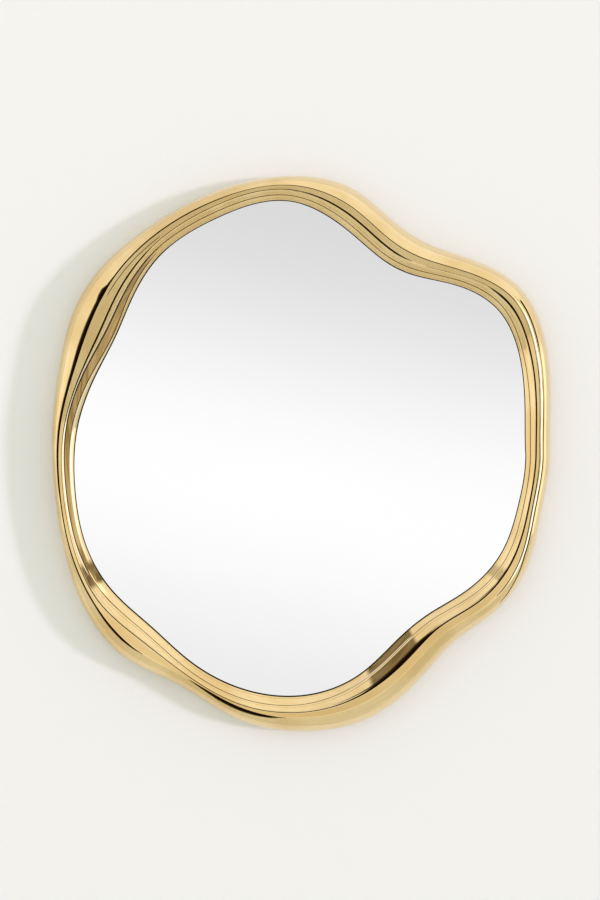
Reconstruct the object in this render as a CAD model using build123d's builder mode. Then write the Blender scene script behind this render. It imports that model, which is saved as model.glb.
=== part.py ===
from build123d import *
import os
from math import cos, sin, asin, radians, degrees

os.makedirs("parts", exist_ok=True)

# Freeform outline in mm, one row for each station round the mirror, anticlockwise from the right:
# angle, radius of the sight edge, radius of the outside, then the shares of the band's width, from
# the outside, at which the bulge ends, the first fold starts and the last fold starts
stations = [
    (0, 305, 340, 0.51, 0.61, 0.83),
    (14, 313, 351, 0.50, 0.60, 0.84),
    (27, 328, 370, 0.50, 0.64, 0.88),
    (36, 331, 375, 0.48, 0.63, 0.85),
    (46, 314, 359, 0.53, 0.67, 0.84),
    (58, 286, 335, 0.51, 0.68, 0.85),
    (68, 286, 340, 0.51, 0.67, 0.87),
    (79, 311, 368, 0.49, 0.65, 0.85),
    (92, 343, 380, 0.46, 0.60, 0.81),
    (110, 342, 378, 0.44, 0.59, 0.80),
    (127, 332, 375, 0.44, 0.64, 0.80),
    (138, 315, 376, 0.44, 0.66, 0.80),
    (148, 302, 371, 0.46, 0.68, 0.80),
    (160, 303, 356, 0.47, 0.64, 0.72),
    (174, 311, 347, 0.40, 0.53, 0.62),
    (190, 317, 346, 0.35, 0.47, 0.63),
    (204, 324, 357, 0.38, 0.50, 0.68),
    (216, 323, 370, 0.41, 0.52, 0.76),
    (229, 317, 374, 0.38, 0.61, 0.81),
    (242, 326, 363, 0.45, 0.54, 0.73),
    (256, 335, 378, 0.46, 0.54, 0.73),
    (272, 332, 384, 0.43, 0.58, 0.79),
    (284, 315, 377, 0.41, 0.59, 0.85),
    (296, 289, 354, 0.38, 0.56, 0.84),
    (308, 281, 334, 0.39, 0.58, 0.84),
    (320, 294, 343, 0.36, 0.55, 0.80),
    (333, 305, 347, 0.41, 0.58, 0.80),
    (346, 304, 338, 0.49, 0.59, 0.81),
]

# Layers, as depths in front of the wall
rim_depth = 3.0  # back edge of the frame, off the wall
board_recess = 6.0  # the board lies this far inside the back edge
board_thickness = 8.0
pad_thickness = 2.0
glass_thickness = 4.0
lip_thickness = 2.5  # metal in front of the glass at the sight edge
board_back = rim_depth + board_recess
ledge_depth = board_back + board_thickness
glass_back = ledge_depth + pad_thickness
glass_front = glass_back + glass_thickness
sight_depth = glass_front + lip_thickness

# Frame band
crest_depth = 48.0  # where the band is widest
crest_fall = 0.18  # the crest sinks this much for each mm that the band is narrower
belly_depth = 14.0  # the outside is widest here
rim_tuck = 4.0  # the outside turns in by this much towards the wall
rim_width = 8.0  # metal beside the backing board
glass_lap = 9.0  # the lip covers the glass by this much
glass_play = 1.0
board_play = 1.0
bulge_steps = 6
bulge_turn = 85.0  # degrees that the bulge turns from the outside to its end; 90 ends it at the crest
bulge_turn_right = 6.0  # more at the right and less at the left
bulge_turn_sides = 10.0  # more at both sides and less at top and bottom

# Folds from the bulge down to the sight edge, as millimetres of fall for each millimetre inwards
slant_fall = 0.45  # between the bulge and the first fold
first_fold_start = 0.06
last_fold_start = 0.40
fold_steps = [0.5, 0.8, 1.0]  # each fold rolls over, steepest at its foot
terrace_fall = 0.25  # flat strip before the last fold, widest at the left
terrace_least = 0.04  # share of the band
terrace_more = 0.16
terrace_angle = 175.0
terrace_fade = 14

# Lightening pockets in the ledge, behind the board: start and end angle
pockets = [(50, 63), (71, 85), (132, 143), (158, 168), (211, 222), (228, 238), (254, 264),
           (269, 281), (287, 299), (305, 317)]
pocket_wall = 6.0
pocket_depth = 10.0
pocket_corner = 2.5

# Screws
screw_radius = 2.0
screw_head_radius = 4.0
screw_head_height = 2.2
screw_bite = 8.0  # length in the frame
screw_point = 2.0
screw_head_flat = 2.8  # radius of the flat on the head
strap_screw_bite = 6.5  # length in the board
tapping_spare = 1.0  # the hole goes this much deeper than the screw
thread_gap = 0.05
hole_gap = 0.25
board_screw_angles = [3, 43, 67, 97, 125, 171, 206, 247, 284, 334]

# Foam pads between the glass and the board
pad_radius = 15.0
pad_circle = 255.0
pad_count = 8

# Ring hangers on the back of the board
hanger_height = 185.0  # height of the hinges above the centre
hanger_span = 460.0
hanger_places = {"left": -hanger_span / 2, "right": hanger_span / 2}
strap_width = 14.0
strap_thickness = 1.5
strap_length = 36.0
strap_corner = 5.0
shoulder_drop = 3.0  # the strap narrows to the knuckle over this length, and ends it this far down
upper_screw_drop = 9.5
lower_screw_drop = 29.0
wire_radius = 1.5
hinge_gap = 0.05
knuckle_length = 11.0
knuckle_lift = 0.1
ring_side_gap = 1.0
ring_reach = 22.0
ring_corner = 3.0
resting_gap = 0.3

# Rubber bumpers against the wall
bumper_radius = 8.0
bumper_edge = 1.0
bumper_places = {
    "left_lower": (-170.0, -255.0),
    "right_lower": (150.0, -245.0),
    "left_upper": (-150.0, 280.0),
    "right_upper": (95.0, 285.0),
}

widest_band = max(outer - sight for _, sight, outer, *_ in stations)
back = Plane.XZ  # the wall plane, with depth growing towards the viewer


# Points of one cross-section as radius and depth, from the back edge over the bulge to the sight edge
def cross_section(angle, sight, outer, bulge_end, first_fold, last_fold):
    band = outer - sight
    crest = crest_depth - (widest_band - band) * crest_fall
    side = radians(angle)
    turned = radians(bulge_turn + bulge_turn_right * cos(side) + bulge_turn_sides * cos(2 * side))
    width = bulge_end * band / (1 - cos(turned))
    height = (crest - belly_depth) / sin(min(turned, radians(90)))

    points = [(outer - rim_tuck, rim_depth), (outer - rim_tuck / 4, (rim_depth + belly_depth) / 2)]
    for step in range(bulge_steps + 1):
        turn = turned * step / bulge_steps
        points.append((outer - width * (1 - cos(turn)), belly_depth + height * sin(turn)))

    terrace = terrace_least + terrace_more * cos(radians(angle - terrace_angle) / 2) ** terrace_fade
    slant = (first_fold - bulge_end) * band
    first = (last_fold - first_fold) * band
    last = (1 - last_fold - terrace) * band
    terrace = terrace * band
    rolled = points[-1][1] - sight_depth - slant * slant_fall - terrace * terrace_fall
    foot = (3 * rolled - 2 * (first * first_fold_start + last * last_fold_start)) / (first + last)

    def go_in(length, fall):
        radius, depth = points[-1]
        points.append((radius - length, depth - fall))

    def roll_over(length, start):
        radius, depth = points[-1]
        for step in fold_steps:
            fall = length * (start * step + (foot - start) * step**3 / 3)
            points.append((radius - length * step, depth - fall))

    go_in(slant, slant * slant_fall)
    roll_over(first, first_fold_start)
    go_in(terrace, terrace * terrace_fall)
    roll_over(last, last_fold_start)
    return points


# Closed curve, in the wall plane's own coordinates, through one point at each station
def closed_curve(rings):
    points = []
    for (angle, *_), (radius, depth) in zip(stations, rings):
        points.append(Vector(radius * cos(radians(angle)), radius * sin(radians(angle)), depth))
    return Edge.make_spline(points, periodic=True, parameters=[row[0] for row in stations] + [360])


# Flat outlines that run beside the sight edge and beside the outside
def beside_sight(shift):
    return closed_curve([(sight + shift, 0) for _, sight, *_ in stations])


def beside_outside(shift):
    return closed_curve([(outer + shift, 0) for _, _, outer, *_ in stations])


# Place on the ledge behind the board, halfway across it
def ledge_middle(angle):
    inside = beside_sight(glass_lap) @ (angle / 360)
    outside = beside_outside(-rim_width) @ (angle / 360)
    return (inside + outside) / 2


# Screw places as x and height: those round the board, and two for each hanger strap
board_screw_places = [tuple(ledge_middle(angle))[:2] for angle in board_screw_angles]
strap_screw_places = {
    side: [(x, hanger_height - drop) for drop in (upper_screw_drop, lower_screw_drop)]
    for side, x in hanger_places.items()
}

# Frame: one loft of closed curves from the back edge to the sight edge, then steps cut from behind
contours = zip(*[cross_section(*row) for row in stations])
body = Solid.make_loft([Wire([closed_curve(rings)]) for rings in contours], ruled=True)
with BuildPart() as frame:
    add(back.from_local_coords(body))
    for curve, depth in (
        (beside_sight(0), crest_depth),
        (beside_sight(glass_lap), glass_front),
        (beside_outside(-rim_width), ledge_depth),
    ):
        with BuildSketch(back):
            with BuildLine():
                add(curve)
            make_face()
        extrude(amount=depth, mode=Mode.SUBTRACT)
    for start, end in pockets:
        with BuildSketch(back.offset(ledge_depth)) as pocket:
            low = beside_sight(glass_lap + pocket_wall).trim(start / 360, end / 360)
            high = beside_outside(-rim_width - pocket_wall).trim(start / 360, end / 360)
            with BuildLine():
                add([low, high])
                Line(low @ 0, high @ 0)
                Line(low @ 1, high @ 1)
            make_face()
            fillet(pocket.vertices(), pocket_corner)
        extrude(amount=pocket_depth, mode=Mode.SUBTRACT)
    with BuildSketch(back.offset(ledge_depth)):
        with Locations(*board_screw_places):
            Circle(screw_radius + thread_gap)
    extrude(amount=screw_bite + tapping_spare, mode=Mode.SUBTRACT)
frame.part.label = "frame"

# Mirror glass
with BuildPart() as mirror_glass:
    with BuildSketch(back.offset(glass_back)):
        with BuildLine():
            add(beside_sight(glass_lap - glass_play))
        make_face()
    extrude(amount=glass_thickness)
mirror_glass.part.label = "mirror_glass"

# Foam pads that hold the glass against the lip
with BuildPart() as foam_pads:
    with BuildSketch(back.offset(ledge_depth)):
        with PolarLocations(pad_circle, pad_count):
            Circle(pad_radius)
    extrude(amount=pad_thickness)
foam_pads.part.label = "foam_pads"

# Backing board
with BuildPart() as backing_board:
    with BuildSketch(back.offset(board_back)):
        with BuildLine():
            add(beside_outside(-rim_width - board_play))
        make_face()
        with Locations(*board_screw_places):
            Circle(screw_radius + hole_gap, mode=Mode.SUBTRACT)
    extrude(amount=board_thickness)
    with BuildSketch(back.offset(board_back)):
        for places in strap_screw_places.values():
            with Locations(*places):
                Circle(screw_radius + thread_gap)
    extrude(amount=strap_screw_bite + tapping_spare, mode=Mode.SUBTRACT)
backing_board.part.label = "backing_board"


# Pan-headed screw, head towards the wall, seated at the origin
def pan_head_screw(length):
    with BuildPart() as screw:
        with BuildSketch(Plane.XY):
            with BuildLine():
                Polyline(
                    (0, screw_head_height),
                    (0, -length),
                    (screw_radius, screw_point - length),
                    (screw_radius, 0),
                    (screw_head_radius, 0),
                    (screw_head_flat, screw_head_height),
                    close=True,
                )
            make_face()
        revolve(axis=Axis.Y)
    return screw.part


# Screws round the backing board
with BuildPart() as board_screws:
    with Locations(*[(x, -board_back, height) for x, height in board_screw_places]):
        add(pan_head_screw(board_thickness + screw_bite))
board_screws.part.label = "board_screws"

# Ring hangers, one to each side: a strap rolled round the bar of a ring, and its two screws
knuckle_radius = wire_radius + hinge_gap + strap_thickness
hinge_depth = board_back - knuckle_radius - knuckle_lift
strap_back = board_back - strap_thickness
ring_half = strap_width / 2 + ring_side_gap + wire_radius
lean = degrees(asin((board_back - resting_gap - wire_radius - hinge_depth) / ring_reach))
straps, rings, strap_screws = {}, {}, {}
for side, x in hanger_places.items():
    with BuildPart() as strap:
        with BuildSketch(back.offset(strap_back)) as plate:
            with BuildLine():
                Polyline(
                    (x - knuckle_length / 2, hanger_height),
                    (x - knuckle_length / 2, hanger_height - shoulder_drop),
                    (x - strap_width / 2, hanger_height - 2 * shoulder_drop),
                    (x - strap_width / 2, hanger_height - strap_length),
                    (x + strap_width / 2, hanger_height - strap_length),
                    (x + strap_width / 2, hanger_height - 2 * shoulder_drop),
                    (x + knuckle_length / 2, hanger_height - shoulder_drop),
                    (x + knuckle_length / 2, hanger_height),
                    close=True,
                )
            make_face()
            fillet(plate.vertices().group_by(Axis.Y)[0], strap_corner)
            with Locations(*strap_screw_places[side]):
                Circle(screw_radius + hole_gap, mode=Mode.SUBTRACT)
        extrude(amount=strap_thickness)
        with BuildSketch(Plane.YZ.offset(x - knuckle_length / 2)) as knuckle:
            with Locations((-hinge_depth, hanger_height)):
                Circle(knuckle_radius)
        extrude(amount=knuckle_length)
        with BuildSketch(Plane.YZ.offset(x - knuckle_length / 2)):
            with Locations((-hinge_depth, hanger_height)):
                Circle(wire_radius + hinge_gap)
        extrude(amount=knuckle_length, mode=Mode.SUBTRACT)
    strap.part.label = side + "_hanger_strap"
    straps[side] = strap.part

    hinge = Plane(origin=(x, -hinge_depth, hanger_height), x_dir=(1, 0, 0), z_dir=(0, -1, 0))
    leaning = hinge.rotated((lean, 0, 0))
    straight = ring_half - ring_corner
    elbow = straight + ring_corner * sin(radians(45))
    with BuildPart() as ring:
        with BuildLine(leaning) as bend:
            ThreePointArc((straight, 0), (elbow, ring_corner - ring_corner * cos(radians(45))),
                          (ring_half, ring_corner))
            Line((ring_half, ring_corner), (ring_half, ring_reach - ring_half))
            ThreePointArc((ring_half, ring_reach - ring_half), (0, ring_reach),
                          (-ring_half, ring_reach - ring_half))
            Line((-ring_half, ring_reach - ring_half), (-ring_half, ring_corner))
            ThreePointArc((-ring_half, ring_corner), (-elbow, ring_corner - ring_corner * cos(radians(45))),
                          (-straight, 0))
        with BuildSketch(Plane(origin=bend.line @ 0, z_dir=bend.line % 0)):
            Circle(wire_radius)
        sweep()
        with BuildSketch(Plane.YZ.offset(x - straight)):
            with Locations((-hinge_depth, hanger_height)):
                Circle(wire_radius)
        extrude(amount=2 * straight)
    ring.part.label = side + "_ring"
    rings[side] = ring.part

    with BuildPart() as screws:
        with Locations(*[(place_x, -strap_back, height) for place_x, height in strap_screw_places[side]]):
            add(pan_head_screw(strap_thickness + strap_screw_bite))
    screws.part.label = side + "_strap_screws"
    strap_screws[side] = screws.part

# Rubber bumpers on the board, touching the wall
bumpers = {}
for place, (x, height) in bumper_places.items():
    with BuildPart() as bumper:
        with BuildSketch(back):
            with Locations((x, height)):
                Circle(bumper_radius)
        extrude(amount=board_back)
        chamfer(bumper.edges().group_by(Axis.Y)[-1], bumper_edge)
    bumper.part.label = place + "_bumper"
    bumpers[place] = bumper.part

fixed = [frame.part, mirror_glass.part, foam_pads.part, backing_board.part, board_screws.part]
hung = list(straps.values()) + list(rings.values()) + list(strap_screws.values())
for piece in fixed + hung + list(bumpers.values()):
    export_step(piece, "parts/" + piece.label + ".step")
print("ring lean", round(lean, 2), "hinge depth", round(hinge_depth, 3))
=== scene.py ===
import math
import random

import bpy
import numpy as np
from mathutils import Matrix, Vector


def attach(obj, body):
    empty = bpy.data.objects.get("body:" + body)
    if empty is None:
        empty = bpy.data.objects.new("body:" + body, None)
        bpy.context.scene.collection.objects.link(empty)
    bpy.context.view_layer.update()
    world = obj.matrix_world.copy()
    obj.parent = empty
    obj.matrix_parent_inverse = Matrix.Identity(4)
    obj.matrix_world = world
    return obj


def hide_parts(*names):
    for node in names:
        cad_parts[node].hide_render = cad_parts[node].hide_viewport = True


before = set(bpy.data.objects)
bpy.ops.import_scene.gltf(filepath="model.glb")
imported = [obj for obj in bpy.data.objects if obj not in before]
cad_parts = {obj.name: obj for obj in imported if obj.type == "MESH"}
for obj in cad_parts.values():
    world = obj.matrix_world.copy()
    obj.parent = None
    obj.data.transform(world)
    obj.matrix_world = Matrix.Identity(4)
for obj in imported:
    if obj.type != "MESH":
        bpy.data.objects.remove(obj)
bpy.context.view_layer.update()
random.seed(7)
mm = 0.001


# Small helpers


def newObject(name, verts, faces, smooth=True):
    mesh = bpy.data.meshes.new(name)
    mesh.from_pydata([tuple(v) for v in verts], [], [tuple(f) for f in faces])
    mesh.validate()
    mesh.update()
    if smooth:
        mesh.polygons.foreach_set("use_smooth", [True] * len(mesh.polygons))
    obj = bpy.data.objects.new(name, mesh)
    bpy.context.scene.collection.objects.link(obj)
    return obj


def dress(obj, material):
    obj.data.materials.clear()
    obj.data.materials.append(material)


# A material or world's node tree with short ways to add and join nodes
class Nodes:
    def __init__(self, owner):
        owner.use_nodes = True
        self.tree = owner.node_tree
        self.tree.nodes.clear()

    def add(self, kind, **settings):
        node = self.tree.nodes.new("ShaderNode" + kind)
        for key, value in settings.items():
            setattr(node, key, value)
        return node

    def put(self, socket, value):
        if isinstance(value, bpy.types.NodeSocket):
            self.tree.links.new(value, socket)
        elif value is not None:
            socket.default_value = value

    def math(self, operation, a, b=None, c=None, clamp=False):
        node = self.add("Math", operation=operation, use_clamp=clamp)
        for socket, value in zip(node.inputs, (a, b, c)):
            self.put(socket, value)
        return node.outputs[0]

    def ramp(self, value, low, high, start=0.0, end=1.0, smooth=True):
        node = self.add("MapRange", interpolation_type="SMOOTHSTEP" if smooth else "LINEAR")
        for socket, number in zip(node.inputs, (value, low, high, start, end)):
            self.put(socket, number)
        return node.outputs[0]

    def mix(self, factor, a, b, blend="MIX"):
        node = self.add("Mix", data_type="RGBA", blend_type=blend)
        self.put(node.inputs["Factor"], factor)
        self.put(node.inputs[6], a)
        self.put(node.inputs[7], b)
        return node.outputs[2]

    def noise(self, scale, detail=4.0, vector=None, roughness=0.5):
        node = self.add("TexNoise")
        node.inputs["Scale"].default_value = scale
        node.inputs["Detail"].default_value = detail
        node.inputs["Roughness"].default_value = roughness
        if vector is not None:
            self.tree.links.new(vector, node.inputs["Vector"])
        return node.outputs["Fac"]

    def place(self, scale=(1, 1, 1)):
        coordinates = self.add("TexCoord")
        mapping = self.add("Mapping")
        mapping.inputs["Scale"].default_value = scale
        self.tree.links.new(coordinates.outputs["Object"], mapping.inputs["Vector"])
        return mapping.outputs["Vector"]

    def bump(self, height, strength, distance, normal=None):
        node = self.add("Bump")
        node.inputs["Strength"].default_value = strength
        node.inputs["Distance"].default_value = distance
        self.put(node.inputs["Height"], height)
        self.put(node.inputs["Normal"], normal)
        return node.outputs["Normal"]

    def shader(self, **values):
        node = self.add("BsdfPrincipled")
        for key, value in values.items():
            self.put(node.inputs[key.replace("_", " ")], value)
        return node.outputs["BSDF"]

    def finish(self, shader, kind="OutputMaterial"):
        self.tree.links.new(shader, self.add(kind).inputs["Surface"])


# Camera: straight on, as the photograph was taken
view = dict(
    pixel=1.373 * mm,  # one pixel of the photograph, halfway through the mirror's depth
    centre=(303, 452),  # where the mirror's centre is in the photograph
    frame=(600, 900),
    distance=2.8,
    depth=0.02,
    sensor=36.0,
)


def makeCamera(v):
    data = bpy.data.cameras.new("camera")
    data.sensor_width = v["sensor"]
    data.sensor_fit = "AUTO"
    data.lens = v["sensor"] * v["distance"] / (v["frame"][1] * v["pixel"])
    camera = bpy.data.objects.new("camera", data)
    x = (v["frame"][0] / 2 - v["centre"][0]) * v["pixel"]
    z = (v["centre"][1] - v["frame"][1] / 2) * v["pixel"]
    camera.location = (x, -v["distance"] - v["depth"], z)
    camera.rotation_euler = (math.radians(90), 0, 0)
    bpy.context.scene.collection.objects.link(camera)
    bpy.context.scene.camera = camera


makeCamera(view)
bpy.context.scene.view_settings.view_transform = "Standard"
print("camera placed")


# Outline of the frame, in mm, measured from the photograph and the same as the solid's: angle, sight
# edge, outside, then the shares of the band's width at which the bulge ends and each fold starts
outline = [
    (0, 305, 340, 0.51, 0.61, 0.83), (14, 313, 351, 0.50, 0.60, 0.84), (27, 328, 370, 0.50, 0.64, 0.88),
    (36, 331, 375, 0.48, 0.63, 0.85), (46, 314, 359, 0.53, 0.67, 0.84), (58, 286, 335, 0.51, 0.68, 0.85),
    (68, 286, 340, 0.51, 0.67, 0.87), (79, 311, 368, 0.49, 0.65, 0.85), (92, 343, 380, 0.46, 0.60, 0.81),
    (110, 342, 378, 0.44, 0.59, 0.80), (127, 332, 375, 0.44, 0.64, 0.80), (138, 315, 376, 0.44, 0.66, 0.80),
    (148, 302, 371, 0.46, 0.68, 0.80), (160, 303, 356, 0.47, 0.64, 0.72), (174, 311, 347, 0.40, 0.53, 0.62),
    (190, 317, 346, 0.35, 0.47, 0.63), (204, 324, 357, 0.38, 0.50, 0.68), (216, 323, 370, 0.41, 0.52, 0.76),
    (229, 317, 374, 0.38, 0.61, 0.81), (242, 326, 363, 0.45, 0.54, 0.73), (256, 335, 378, 0.46, 0.54, 0.73),
    (272, 332, 384, 0.43, 0.58, 0.79), (284, 315, 377, 0.41, 0.59, 0.85), (296, 289, 354, 0.38, 0.56, 0.84),
    (308, 281, 334, 0.39, 0.58, 0.84), (320, 294, 343, 0.36, 0.55, 0.80), (333, 305, 347, 0.41, 0.58, 0.80),
    (346, 304, 338, 0.49, 0.59, 0.81),
]

# Layers of the frame behind its face, in mm in front of the wall
layers = dict(rim=3.0, ledge=17.0, seat=23.0, sight=25.5, belly=14.0, rimWidth=8.0, lap=9.0, tuck=4.0)

# Shape of the band's face. The crest sinks a little where the band is narrower. The bulge turns by
# so many degrees from the outside to its end, and each fold rolls over, steepest at its foot
face = dict(
    crest=47.97,
    sink=0.18,
    turn=85.0,
    turnRight=6.0,
    turnSides=10.0,
    slantFall=0.45,
    firstStart=0.06,
    lastStart=0.40,
    terraceFall=0.25,
    terraceLeast=0.04,
    terraceMore=0.16,
    terraceAngle=175.0,
    terraceFade=14,
    rimRows=6,
    bulgeRows=30,
    flatRows=6,
    firstRows=14,
    lastRows=12,
    around=1200,
    ease=0.9998,  # stays just inside the solid frame
    wider=1.12,  # the painted dark lines and painted highlights against the table, and their soft edges in mm
    blur=0.42,
    leastLine=0.12,  # a line narrower than this, in mm, isn't there
    lineReach=12,  # distances from a line are kept up to so many widths
    paleFade=12,  # rows over which the painted pale of the outer bulge fades
    paleEnd=6,
)

# Painted dark reflections and shade: dark lines drawn in the creases, where the photograph has dark
# reflections: angle, width in mm, and how far outside the crease the line runs
paintedDarkReflections = dict(
    bulge=[
        (0, 0.4), (34, 0.3), (36, 0.9), (88, 0.8), (95, 0.4), (104, 0.5), (108, 1.0), (115, 1.5),
        (137, 1.6), (139.5, 3.0), (141, 7.0), (142.5, 7.0), (144, 5.2), (150, 6.0), (155, 5.9),
        (160, 4.6), (165, 3.6), (175, 2.9), (188, 2.2), (192, 1.3), (200, 1.2), (210, 1.8),
        (216, 1.9), (221, 3.0), (226, 3.2), (230, 1.2), (232, 0.0), (243, 0.0), (245, 1.4),
        (248, 3.0), (251, 4.8), (256, 5.0), (260, 4.4), (263, 3.0), (265, 0.6), (267, 0.0),
        (323, 0.0), (325, 0.9), (350, 1.1), (356, 0.6),
    ],
    crest=[
        (0, 1.1, 5.1), (12, 0.9, 6.0), (16, 0.5, 6.2), (22, 0.5, 6.5), (25, 1.6, 6.7), (34.6, 2.2, 6.6),
        (35.2, 0.0, 6.6), (322, 0.0, 10.5), (325, 1.0, 9.7), (330, 1.2, 7.0), (335, 1.3, 4.4),
        (345, 1.3, 5.0), (352, 1.3, 5.1),
    ],
    first=[
        (0, 1.7), (20, 1.7), (30, 1.9), (35, 2.7), (38, 2.7), (40, 1.8), (42, 0.2), (60, 0.1),
        (62, 0.9), (65, 1.8), (70, 2.5), (79, 2.5), (86, 1.6), (90, 0.6), (126, 0.5), (128.5, 1.4),
        (135, 2.3), (152, 2.4), (160, 1.6), (170, 0.8), (180, 0.4), (205, 0.4), (212, 0.8),
        (228, 0.9), (236, 0.6), (270, 0.6), (277, 0.9), (284, 2.0), (287, 4.0), (290, 6.0),
        (295, 7.6), (300, 7.4), (302.5, 6.0), (306, 2.6), (309, 1.6), (320, 1.7), (327, 2.1),
    ],
    thin=[(0, 0.0, -4.8), (123, 0.0, -4.8), (125, 0.6, -4.8), (140, 0.7, -4.9), (142, 0.0, -4.9)],
    last=[(0, 0.4), (125, 0.4), (129, 1.0), (160, 1.0), (175, 0.7), (185, 0.3), (215, 0.4), (280, 0.3)],
    terrace=[(0, 0.0), (126, 0.0), (130, 0.9), (160, 1.0), (175, 0.6), (185, 0.0), (213, 0.0)],
    sight=[
        (0, 0.3), (50, 0.3), (62, 0.6), (86, 0.6), (92, 0.2), (120, 0.2), (128, 0.8), (172, 0.8),
        (182, 0.3), (208, 0.4), (214, 1.0), (312, 1.0), (335, 0.5),
    ],
)

# Painted highlights: bright lines beside the creases, from the bulge's end, the last fold and the terrace
glints = dict(
    bulge=[
        (0, 2.4, 2.6), (30, 2.6, 2.9), (33, 0.0, 2.9), (326, 0.0, 2.4), (332, 1.6, 2.0), (345, 2.2, 2.4),
    ],
    last=[
        (0, 0.0, 1.6), (136, 0.0, 1.6), (146, 1.6, 1.6), (172, 1.8, 1.7), (206, 1.6, 1.6), (210, 0.0, 1.6),
        (281, 0.0, -0.4), (284, 1.5, -0.4), (299, 1.5, -0.4), (301, 0.0, -0.4),
    ],
    terrace=[
        (0, 0.0, -2.0), (148, 0.0, -2.0), (156, 1.5, -2.0), (180, 3.2, -2.6), (204, 2.0, -2.2),
        (207, 0.0, -2.0),
    ],
)

# Painted reflection tones: how dark the slant, the terrace and the folds are painted, and how pale the
# outer bulge
paintedReflectionTones = dict(
    slant=[
        (0, 0.5), (30, 0.35), (60, 0.25), (100, 0.4), (130, 0.3), (180, 0.4), (210, 0.3), (250, 0.7),
        (270, 0.8), (300, 0.6), (340, 0.6),
    ],
    folds=[
        (0, 0.0), (206.5, 0.0), (208, 0.9), (212.2, 1.0), (213.4, 0.0), (285.8, 0.0), (287, 0.95),
        (300.4, 0.95), (301.4, 0.0), (326.2, 0.0), (327, 0.5), (329, 0.5), (330.5, 0.0),
    ],
    terrace=[
        (0, 0.0), (124, 0.0), (130, 0.8), (150, 0.95), (170, 1.0), (187, 0.95), (192, 0.85),
        (202, 0.85), (204, 1.0), (208.5, 1.0), (210, 0.0),
    ],
    bulge=[(0, 1.0), (100, 1.0), (130, 0.2), (215, 0.0), (250, 0.5), (300, 0.8), (330, 1.0)],
)


# Smooth closed curves through the values at the stations (one column each), read at any angles.
# They leave the first station the way a cubic through the first four would
def closedCurves(stationAngles, values, wanted):
    n = len(stationAngles)
    values = np.vstack([values, values[:1]])
    step = np.diff(np.append(stationAngles, stationAngles[0] + 360.0))
    slope = np.diff(values, axis=0) / step[:, None]
    leave = np.polyfit(stationAngles[:4] - stationAngles[0], values[:4], 3)[2]
    bends = 6 * np.diff(np.vstack([leave, slope, leave]), axis=0)
    system = np.zeros((n + 1, n + 1))
    for i in range(n):
        system[i:i + 2, i:i + 2] += step[i] * np.array([[2, 1], [1, 2]])
    bend = np.linalg.solve(system, bends)
    i = np.searchsorted(stationAngles, wanted, side="right") - 1
    t, h = (wanted - stationAngles[i])[:, None], step[i][:, None]
    return (values[i] + t * (slope[i] - h * (2 * bend[i] + bend[i + 1]) / 6)
            + t * t * bend[i] / 2 + t ** 3 * (bend[i + 1] - bend[i]) / (6 * h))


angles = np.arange(face["around"]) * 360.0 / face["around"]
stations, sight, outside, bulgeEnd, firstFold, lastFold = np.array(outline, float).T
band = outside - sight


# Rows of (radius, depth) at the stations, from the back edge over the face to the sight edge, and
# the numbers of the sharp ones
def faceRows(f):
    crest = f["crest"] - (band.max() - band) * f["sink"]
    side = np.radians(stations)
    turned = np.radians(f["turn"] + f["turnRight"] * np.cos(side) + f["turnSides"] * np.cos(2 * side))
    width = bulgeEnd * band / (1 - np.cos(turned))
    height = (crest - layers["belly"]) / np.sin(np.minimum(turned, math.pi / 2))
    rows, sharp = [], {}
    for k in range(f["rimRows"]):
        t = k / f["rimRows"]
        rows.append((outside - layers["tuck"] * (1 - t) ** 2,
                     layers["rim"] + (layers["belly"] - layers["rim"]) * t + 0 * band))
    for k in range(f["bulgeRows"] + 1):
        turn = turned * k / f["bulgeRows"]
        rows.append((outside - width * (1 - np.cos(turn)), layers["belly"] + height * np.sin(turn)))
    sharp["bulge"] = len(rows) - 1

    terrace = f["terraceLeast"] + f["terraceMore"] * np.cos(
        np.radians(stations - f["terraceAngle"]) / 2) ** f["terraceFade"]
    slant = (firstFold - bulgeEnd) * band
    first = (lastFold - firstFold) * band
    last = (1 - lastFold - terrace) * band
    terrace = terrace * band
    rolled = rows[-1][1] - layers["sight"] - slant * f["slantFall"] - terrace * f["terraceFall"]
    foot = (3 * rolled - 2 * (first * f["firstStart"] + last * f["lastStart"])) / (first + last)

    def goIn(length, fall, steps):
        radius, depth = rows[-1]
        for k in range(1, steps + 1):
            rows.append((radius - length * k / steps, depth - fall * k / steps))

    def rollOver(length, start, steps):
        radius, depth = rows[-1]
        for k in range(1, steps + 1):
            t = k / steps
            fall = length * (start * t + (foot - start) * t ** 3 / 3)
            rows.append((radius - length * t, depth - fall))

    goIn(slant, slant * f["slantFall"], f["flatRows"])
    sharp["first"] = len(rows) - 1
    rollOver(first, f["firstStart"], f["firstRows"])
    sharp["last"] = len(rows) - 1
    goIn(terrace, terrace * f["terraceFall"], f["flatRows"])
    sharp["terrace"] = len(rows) - 1
    rollOver(last, f["lastStart"], f["lastRows"])
    sharp["sight"] = len(rows) - 1
    return rows, sharp


# The hidden steps behind the face, back to the rim
def backRows():
    level = 0 * band
    return [
        (sight, layers["seat"] + level),
        (sight + layers["lap"], layers["seat"] + level),
        (sight + layers["lap"], layers["ledge"] + level),
        (outside - layers["rimWidth"], layers["ledge"] + level),
        (outside - layers["rimWidth"], layers["rim"] + level),
    ]


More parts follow.
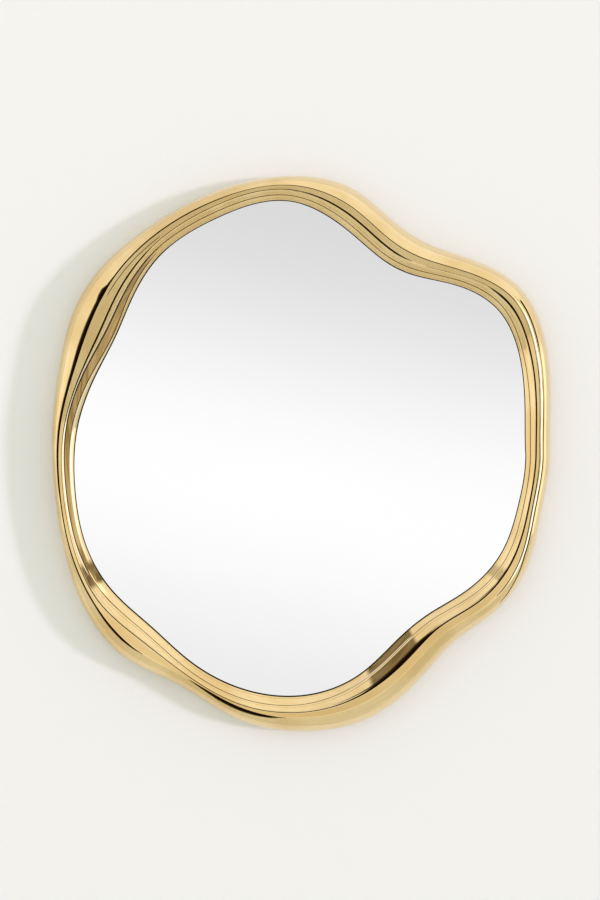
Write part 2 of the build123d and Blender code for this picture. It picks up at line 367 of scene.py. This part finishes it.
def makeFrame():
    rows, sharp = faceRows(face)
    firstHidden = len(rows)
    rows += backRows()
    across, around = len(rows), len(angles)
    turn = np.radians(stations)
    points = np.array([(radius * np.cos(turn), -depth, radius * np.sin(turn)) for radius, depth in rows])
    smooth = closedCurves(stations, points.transpose(2, 0, 1).reshape(len(stations), -1), angles)
    verts = smooth.reshape(around, across, 3).transpose(1, 0, 2) * face["ease"]
    i, j = np.meshgrid(np.arange(across), np.arange(around), indexing="ij")
    a, b, k = i * around, ((i + 1) % across) * around, (j + 1) % around
    faces = np.stack([a + j, b + j, b + k, a + k], axis=-1).reshape(-1, 4)
    obj = newObject("gilt_frame", verts.reshape(-1, 3) * mm, faces.tolist())

    mesh = obj.data
    pairs = np.zeros(len(mesh.edges) * 2, int)
    mesh.edges.foreach_get("vertices", pairs)
    ring = pairs.reshape(-1, 2) // around
    hard = set(sharp.values()) | set(range(firstHidden, across)) | {0}
    flags = (ring[:, 0] == ring[:, 1]) & np.isin(ring[:, 0], list(hard))
    mesh.attributes.new("sharp_edge", "BOOLEAN", "EDGE").data.foreach_set("value", flags)

    def store(name, values):
        mesh.attributes.new(name, "FLOAT", "POINT").data.foreach_set("value", values.ravel())

    def roundMirror(line, column):
        line = np.array([(entry + (0,))[:3] for entry in line], float)
        return np.interp(angles, line[:, 0], line[:, column], period=360)

    # Distance inwards from each painted dark line and painted highlight, in widths of the line
    fromMiddle = np.hypot(verts[:, :, 0], verts[:, :, 2])
    for kind, lines in (("Crease", paintedDarkReflections), ("Glint", glints)):
        for name, line in lines.items():
            start = fromMiddle[sharp.get(name, sharp["bulge"])] + roundMirror(line, 2)
            width = roundMirror(line, 1)
            away = (start - fromMiddle) / (width * face["wider"] + face["blur"])
            away = np.clip(away, -face["lineReach"], face["lineReach"])
            away[:, width < face["leastLine"]] = face["lineReach"]
            store(name + kind, away)

    # Zones of painted reflection tone: darker on the slant, the terrace and the folds, paler on the outer
    # bulge
    row = np.arange(across)[:, None]
    fromLast = np.abs(row - sharp["last"])
    pale = np.clip((sharp["bulge"] - face["paleEnd"] - row) / face["paleFade"], 0, 1)
    zones = dict(
        slant=(row > sharp["bulge"]) & (row < sharp["first"]),
        terrace=(row >= sharp["last"]) & (row <= sharp["terrace"]),
        bulge=pale * (row < firstHidden),
        folds=(row > sharp["first"] + 2) & (row <= sharp["sight"]) & (fromLast > 1),
    )
    for name, zone in zones.items():
        store(name + "PaintedTone", zone * roundMirror(paintedReflectionTones[name], 1))

    # Where the fine lines of the hand polishing run: across the band, then round the mirror
    turned = np.radians(angles)
    way = np.broadcast_to([np.cos(turned), np.sin(turned)], (across, 2, around))
    run = np.stack([fromMiddle[0] - fromMiddle - verts[:, :, 1], way[:, 0], way[:, 1]], axis=-1)
    mesh.attributes.new("polishRun", "FLOAT_VECTOR", "POINT").data.foreach_set("vector", run.ravel())
    return obj


giltFrame = makeFrame()
print("frame built", len(giltFrame.data.polygons))


# Polished gold: warm metal with fine lines of hand polishing, painted dark reflections in its creases,
# painted highlights beside them and painted reflection tones on its bands
gold = dict(
    colour=(0.88, 0.685, 0.365, 1),
    # pale is the painted highlight of the outer bulge, olive and umber the painted reflection tones, cream
    # the painted highlights, brown and black the painted dark reflections
    pale=(0.91, 0.745, 0.475, 1),
    tan=(0.76, 0.555, 0.255, 1),
    olive=(0.60, 0.41, 0.15, 1),
    umber=(0.135, 0.082, 0.022, 1),
    cream=(0.97, 0.90, 0.70, 1),
    brown=(0.115, 0.06, 0.015, 1),
    black=(0.007, 0.0035, 0.001, 1),
    roughness=(0.03, 0.065),
    darkRoughness=0.4,
    grain=1100.0,  # scales of the fine grain and of the clouds of tone
    cloud=11.0,
    streak=(0.5, 5.0, 5.0),
    streakTan=0.55,
    streakBump=(0.12, 0.0006),  # strengths and heights in metres
    grainBump=(0.03, 0.0002),
)


def goldMaterial(g):
    material = bpy.data.materials.new("polished_gold")
    n = Nodes(material)
    spot = n.place()
    grain = n.noise(g["grain"], 3.0, spot)
    cloud = n.noise(g["cloud"], 3.0, spot)
    stretch = n.add("Mapping")
    stretch.inputs["Scale"].default_value = g["streak"]
    n.put(stretch.inputs["Vector"], n.add("Attribute", attribute_name="polishRun").outputs["Vector"])
    streak = n.noise(1.0, 3.0, stretch.outputs[0])

    def stored(name):
        return n.add("Attribute", attribute_name=name).outputs["Fac"]

    # How far the surface is inside a painted dark line or painted highlight: soft on one side of the
    # crease, sharp on the other
    def line(name, before, after):
        across = stored(name)
        return n.math("MINIMUM", n.ramp(across, -before, -0.3 * before),
                      n.ramp(across, 0.3 * after, after, 1.0, 0.0))

    # Painted dark reflections along the creases, and painted highlights beside them
    dark = line("bulgeCrease", 1.0, 0.12)
    for name, before, after in (("crest", 0.5, 0.5), ("first", 0.12, 1.0), ("thin", 0.5, 0.5),
                                ("last", 0.5, 0.5), ("terrace", 0.5, 0.5), ("sight", 1.0, 0.5)):
        dark = n.math("MAXIMUM", dark, line(name + "Crease", before, after))
    bright = line("bulgeGlint", 0.5, 0.5)
    for name in ("last", "terrace"):
        bright = n.math("MAXIMUM", bright, line(name + "Glint", 0.5, 0.5))

    tone = n.mix(n.ramp(cloud, 0.35, 0.65), g["colour"], g["tan"])
    tone = n.mix(n.ramp(cloud, 0.2, 0.6), g["colour"], tone)
    # Painted reflection tones: a paler outer bulge, and a darker slant, terrace and folds
    tone = n.mix(stored("bulgePaintedTone"), tone, g["pale"])
    tone = n.mix(n.math("MULTIPLY", n.ramp(streak, 0.5, 0.66), g["streakTan"]), tone, g["tan"])
    tone = n.mix(stored("slantPaintedTone"), tone, g["olive"])
    tone = n.mix(n.math("MULTIPLY", stored("terracePaintedTone"), n.ramp(streak, 0.3, 0.7, 1.0, 0.8)),
                 tone, g["umber"])
    tone = n.mix(n.math("MULTIPLY", stored("foldsPaintedTone"), n.ramp(streak, 0.3, 0.7, 1.0, 0.85)),
                 tone, g["umber"])
    # Painted highlights in cream, then painted dark reflections in brown and black
    tone = n.mix(bright, tone, g["cream"])
    tone = n.mix(n.ramp(dark, 0.0, 0.45), tone, g["brown"])
    tone = n.mix(n.ramp(dark, 0.2, 0.8), tone, g["black"])
    rough = n.ramp(grain, 0.3, 0.7, *g["roughness"])
    rough = n.math("MAXIMUM", rough, n.ramp(dark, 0.4, 1.0, 0.0, g["darkRoughness"]))
    lines = n.bump(streak, *g["streakBump"])
    normal = n.bump(grain, *g["grainBump"], lines)
    metal = n.shader(Base_Color=tone, Metallic=1.0, Roughness=rough, Normal=normal)
    # A dull brown and black surface where the painted dark reflections are darkest
    paintedDarkSurface = n.add("BsdfDiffuse")
    n.put(paintedDarkSurface.inputs["Color"], n.mix(n.ramp(dark, 0.3, 0.9), g["brown"], g["black"]))
    blend = n.add("MixShader")
    n.put(blend.inputs[0], n.ramp(dark, 0.25, 0.75))
    n.put(blend.inputs[1], metal)
    n.put(blend.inputs[2], paintedDarkSurface.outputs[0])
    n.finish(blend.outputs[0])
    return material


dress(giltFrame, goldMaterial(gold))
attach(giltFrame, "mirror")
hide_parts("frame")


# Silvered glass, with clouds of two faint tints
glass = dict(
    tints=((0.955, 0.95, 0.955, 1), (0.985, 0.98, 0.98, 1)),
    roughness=(0.004, 0.012),
    cloud=3.0,
)


def glassMaterial(g):
    material = bpy.data.materials.new("silvered_glass")
    n = Nodes(material)
    cloud = n.noise(g["cloud"], 2.0, n.place())
    tint = n.mix(cloud, *g["tints"])
    rough = n.ramp(cloud, 0.3, 0.7, *g["roughness"])
    n.finish(n.shader(Base_Color=tint, Metallic=1.0, Roughness=rough))
    return material


dress(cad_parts["mirror_glass"], glassMaterial(glass))

# Plain finishes: two tones and two roughnesses over a noise, with a fine bump
finishes = dict(
    zinc=dict(low=(0.50, 0.51, 0.52, 1), high=(0.74, 0.75, 0.76, 1), scale=(260, 260, 260), metal=1.0,
              rough=(0.22, 0.42), bump=(0.15, 0.0001)),
    screwZinc=dict(low=(0.56, 0.50, 0.34, 1), high=(0.80, 0.72, 0.50, 1), scale=(420, 420, 420), metal=1.0,
                   rough=(0.2, 0.36), bump=(0.12, 0.0001)),
    board=dict(low=(0.30, 0.19, 0.10, 1), high=(0.44, 0.30, 0.175, 1), scale=(95, 95, 420), metal=0.0,
               rough=(0.6, 0.82), bump=(0.35, 0.0003)),
    rubber=dict(low=(0.035, 0.036, 0.04, 1), high=(0.075, 0.075, 0.08, 1), scale=(300, 300, 300), metal=0.0,
                rough=(0.45, 0.7), bump=(0.25, 0.0002)),
    foam=dict(low=(0.045, 0.045, 0.05, 1), high=(0.13, 0.13, 0.14, 1), scale=(900, 900, 900), metal=0.0,
              rough=(0.85, 0.98), bump=(0.8, 0.0004)),
)


def plainFinish(name, f):
    material = bpy.data.materials.new(name)
    n = Nodes(material)
    spot = n.place(f["scale"])
    fine = n.noise(1.0, 5.0, spot, 0.6)
    broad = n.noise(0.06, 3.0, spot)
    tone = n.mix(n.ramp(fine, 0.3, 0.7), f["low"], f["high"])
    tone = n.mix(n.math("MULTIPLY", n.ramp(broad, 0.4, 0.65), 0.45), tone, f["low"])
    rough = n.ramp(n.math("ADD", n.math("MULTIPLY", fine, 0.6), n.math("MULTIPLY", broad, 0.4)),
                   0.3, 0.7, *f["rough"])
    normal = n.bump(fine, *f["bump"])
    n.finish(n.shader(Base_Color=tone, Metallic=f["metal"], Roughness=rough, Normal=normal))
    return material


finish = {name: plainFinish(name, values) for name, values in finishes.items()}
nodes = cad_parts
for name, node in nodes.items():
    if "bumper" in name:
        dress(node, finish["rubber"])
    elif name == "backing_board":
        dress(node, finish["board"])
    elif "strap" in name or "ring" in name:
        dress(node, finish["zinc"])


# Middles of the separate solids of a node, as x and z
def middles(node, apart):
    groups = []
    for vertex in node.data.vertices:
        place = node.matrix_world @ vertex.co
        for group in groups:
            if math.hypot(group[0].x - place.x, group[0].z - place.z) < apart:
                group.append(place)
                break
        else:
            groups.append([place])
    found = []
    for group in groups:
        found.append([(min(p[i] for p in group) + max(p[i] for p in group)) / 2 for i in (0, 2)])
    return found


# Bodies turned from a profile of (radius, forward), with their axes along y; shift moves a point on them
def turnedBodies(name, places, profile, around, shift=None):
    verts, faces = [], []
    for x, z in places:
        base = len(verts)
        twist = random.uniform(0, math.pi)
        for radius, forward in profile:
            for k in range(around):
                turn = 2 * math.pi * k / around
                depth = forward + (shift(radius, turn) if shift else 0)
                verts.append((x + radius * math.cos(turn + twist) * mm, depth * mm,
                              z + radius * math.sin(turn + twist) * mm))
        for row in range(len(profile) - 1):
            for k in range(around):
                a, b = base + row * around + k, base + row * around + (k + 1) % around
                faces.append((a, a + around, b + around, b))
        faces.append(tuple(base + k for k in range(around)))
        end = base + (len(profile) - 1) * around
        faces.append(tuple(end + k for k in reversed(range(around))))
    return newObject(name, verts, faces)


# Pan-headed screws with cross recesses, heads towards the wall
screw = dict(
    crossHalf=0.55,
    crossReach=2.15,
    crossDepth=1.1,
    crossEnd=4.5,  # radius at which the recess would run out
    around=48,
    apart=12 * mm,
    head=[
        (0.06, 2.2), (0.5, 2.2), (0.62, 2.2), (1.1, 2.19), (1.6, 2.17), (2.1, 2.14), (2.25, 2.13),
        (2.8, 2.0), (3.3, 1.65), (3.7, 1.15), (3.95, 0.5), (4.0, 0.0), (2.4, 0.0),
    ],
    shank=2.3,
    tip=2.2,
    point=2.0,
)


def makeScrews(name, node, seat, length):
    def recess(radius, turn):
        across, along = abs(radius * math.cos(turn)), abs(radius * math.sin(turn))
        inside = min(across, along) < screw["crossHalf"] and max(across, along) < screw["crossReach"]
        return -screw["crossDepth"] * (1 - radius / screw["crossEnd"]) if inside else 0

    profile = [(radius, height - seat) for radius, height in screw["head"]]
    profile += [(screw["shank"], -seat), (screw["shank"], screw["point"] - length - seat),
                (screw["tip"], -length - seat)]
    screws = turnedBodies(name, middles(nodes[node], screw["apart"]), profile, screw["around"], recess)
    dress(screws, finish["screwZinc"])
    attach(screws, "mirror")
    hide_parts(node)


makeScrews("board_screw_heads", "board_screws", 9.0, 13.0)
makeScrews("left_strap_screw_heads", "left_strap_screws", 7.5, 6.0)
makeScrews("right_strap_screw_heads", "right_strap_screws", 7.5, 6.0)

# Round foam pads between the glass and the board, pressed flat with rounded edges
pads = dict(radius=15.0, back=17.0, front=19.0, around=64, apart=60 * mm)


def makePads(p):
    middle = (p["back"] + p["front"]) / 2
    half = (p["front"] - p["back"]) / 2
    profile = [(0.1, -p["front"]), (p["radius"] * 0.5, -p["front"])]
    for k in range(9):
        turn = math.pi * k / 8
        profile.append((p["radius"] - half + half * math.sin(turn), -middle - half * math.cos(turn)))
    profile += [(p["radius"] * 0.5, -p["back"]), (0.1, -p["back"])]
    piece = turnedBodies("soft_pads", middles(nodes["foam_pads"], p["apart"]), profile[::-1], p["around"])
    dress(piece, finish["foam"])
    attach(piece, "mirror")
    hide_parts("foam_pads")


makePads(pads)
print("back dressed")

# Plain wall behind and floor below
room = dict(
    wall=(0.86, 0.86, 0.835, 1),
    floor=(0.84, 0.84, 0.82, 1),
    wallGap=0.6 * mm,
    wallReach=6.0,
    hole=14.0,  # mm inside the outside of the frame, so that light reaches the back
    floorHeight=-1.3,
    floorReach=6.0,
)


def paleMaterial(name, colour, seeThroughBack):
    material = bpy.data.materials.new(name)
    n = Nodes(material)
    speck = n.noise(180.0, 3.0, n.place())
    tone = n.mix(n.math("MULTIPLY", speck, 0.03), colour, (0.7, 0.7, 0.68, 1))
    surface = n.shader(Base_Color=tone, Roughness=0.9)
    if seeThroughBack:
        backSide = n.add("NewGeometry").outputs["Backfacing"]
        blend = n.add("MixShader")
        n.put(blend.inputs[0], backSide)
        n.put(blend.inputs[1], surface)
        n.put(blend.inputs[2], n.add("BsdfTransparent").outputs[0])
        surface = blend.outputs[0]
    n.finish(surface)
    return material


def makeRoom(r):
    turn = np.radians(stations)
    verts = []
    for reach in ((outside - r["hole"]) * mm, r["wallReach"] + 0 * band):
        verts += [(a * math.cos(t), r["wallGap"], a * math.sin(t)) for a, t in zip(reach, turn)]
    n = len(turn)
    faces = [(j, n + j, n + (j + 1) % n, (j + 1) % n) for j in range(n)]
    wall = newObject("wall", verts, faces, smooth=False)
    dress(wall, paleMaterial("wall_paint", r["wall"], True))
    s, h = r["floorReach"], r["floorHeight"]
    floor = newObject("floor", [(-s, -s, h), (s, -s, h), (s, s, h), (-s, s, h)], [(0, 1, 2, 3)], False)
    dress(floor, paleMaterial("floor_paint", r["floor"], False))


makeRoom(room)

# Studio round the mirror, as seen in its reflections: a pale room, a soft screen straight ahead and
# cards. Tilt is measured from the way the mirror faces, turn anticlockwise from the right, in degrees
studio = dict(
    background=(0.93, 0.93, 0.915, 1),
    fill=(0.945, 0.955, 0.905, 1),
    room=(1.09, 1.07, 1.04, 1),
    screen=dict(tilt=8.6, soft=1.0, lean=0.22, top=0.73, middle=1.03, bottom=0.86),
    cards=[
        # turn, half width, its softness, from tilt, to tilt, its softness, brightness
        (225, 26, 10, 9, 150, 3, 0.82),
        (255, 20, 10, 9, 150, 3, 0.90),
        (115, 18, 10, 9, 150, 3, 0.90),
        (185, 66, 6, 9, 16, 2, 0.05),
        (240, 20, 6, 26, 50, 9, 0.55),
        (5, 36, 4, 28, 35, 1.5, 0.35),
        (5, 30, 3, 12, 26, 1.5, 1.7),
        (0, 13, 3, 50, 120, 6, 1.3),
        (180, 12, 4, 62, 95, 8, 1.15),
    ],
)


def makeStudio(s):
    world = bpy.data.worlds.new("studio")
    bpy.context.scene.world = world
    n = Nodes(world)
    axes = n.add("SeparateXYZ")
    n.put(axes.inputs[0], n.add("TexCoord").outputs["Generated"])
    x, y, z = axes.outputs
    degrees = 180 / math.pi
    tilt = n.math("MULTIPLY", n.math("ARCCOSINE", n.math("MULTIPLY", y, -1.0)), degrees)
    turn = n.math("MULTIPLY", n.math("ARCTAN2", z, x), degrees)

    light = s["room"]
    for middle, half, soft, low, high, softTilt, level in s["cards"]:
        aside = n.math("ABSOLUTE", n.math("WRAP", n.math("SUBTRACT", turn, middle), 180.0, -180.0))
        amount = n.ramp(aside, half - soft, half + soft, 1.0, 0.0)
        amount = n.math("MULTIPLY", amount, n.ramp(tilt, low - softTilt, low + softTilt))
        amount = n.math("MULTIPLY", amount, n.ramp(tilt, high - softTilt, high + softTilt, 1.0, 0.0))
        light = n.mix(amount, light, tuple(c * level for c in s["room"][:3]) + (1,))

    screen = s["screen"]
    height = n.math("MULTIPLY", n.math("ADD", z, n.math("MULTIPLY", x, screen["lean"])), degrees)
    shade = n.ramp(height, -1.0, 7.0, screen["middle"], screen["top"])
    shade = n.math("MINIMUM", shade, n.ramp(height, -8.0, -1.5, screen["bottom"], screen["middle"]))
    grey = n.add("CombineColor")
    for socket in grey.inputs[:3]:
        n.put(socket, shade)
    inScreen = n.ramp(tilt, screen["tilt"] - screen["soft"], screen["tilt"] + screen["soft"], 1.0, 0.0)
    light = n.mix(inScreen, light, grey.outputs[0])

    path = n.add("LightPath")
    seen = n.mix(path.outputs["Is Glossy Ray"], s["fill"], light)
    seen = n.mix(path.outputs["Is Camera Ray"], seen, s["background"])
    glow = n.add("Background")
    n.put(glow.inputs["Color"], seen)
    n.finish(glow.outputs[0], "OutputWorld")


makeStudio(studio)

# Lamps: a low soft key from the right, level with the mirror, and a weak one behind for the back
lamps = dict(
    key=dict(kind="SUN", place=(2.0, -1.06, 0.0), power=1.31, spread=6.0, colour=(0.89, 0.79, 1.0)),
    rear=dict(kind="AREA", place=(0.6, 2.6, 1.0), power=30.0, size=(2.0, 2.0), colour=(1.0, 1.0, 1.0)),
)


def makeLamp(name, l):
    data = bpy.data.lights.new(name, l["kind"])
    data.energy = l["power"]
    data.color = l["colour"]
    if l["kind"] == "SUN":
        data.angle = math.radians(l["spread"])
    else:
        data.shape = "RECTANGLE"
        data.size, data.size_y = l["size"]
    lamp = bpy.data.objects.new(name, data)
    lamp.location = l["place"]
    lamp.rotation_euler = (-Vector(l["place"])).to_track_quat("-Z", "Y").to_euler()
    lamp.visible_glossy = False
    lamp.visible_camera = False
    bpy.context.scene.collection.objects.link(lamp)


for name, values in lamps.items():
    makeLamp(name, values)
print("studio lit")
